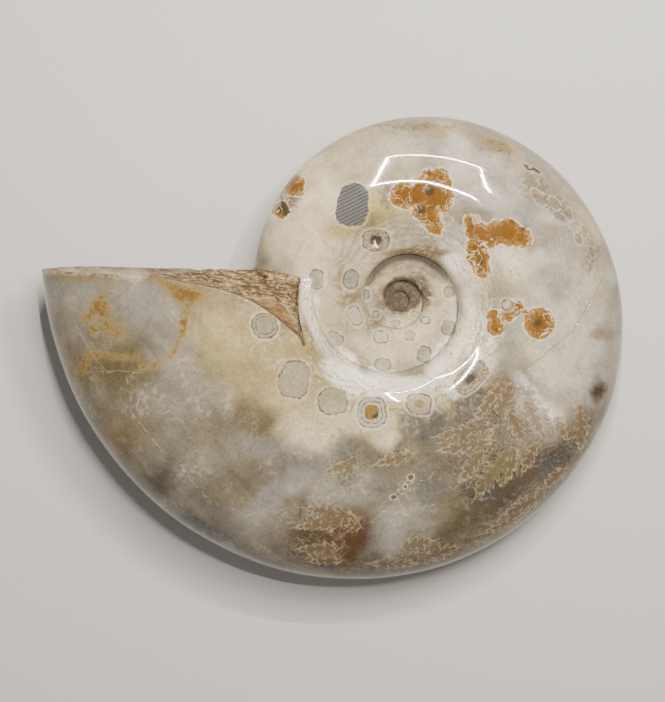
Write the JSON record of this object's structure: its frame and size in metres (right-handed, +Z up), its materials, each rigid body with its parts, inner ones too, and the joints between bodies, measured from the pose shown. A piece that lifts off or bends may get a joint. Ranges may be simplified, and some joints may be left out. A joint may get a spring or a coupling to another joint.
{
  "type": "ammonite",
  "caption": "Whole polished ammonite: a coiled fossil shell of solid calcite, broken open at its mouth, that lies flat on one flank.",
  "frame": {"origin": "middle of the underside of the part's box, on the ground that the stone lies on", "axes": "+Z up out of the ground, close to the coiling axis; +X along the longest extent, away from the tip of the mouth"},
  "size_m": [0.148, 0.1186, 0.0405],
  "materials": {
    "polished_calcite": "polished"
  },
  "bodies": {
    "root": {"ammonite": "polished_calcite"}
  },
  "joints": []
}
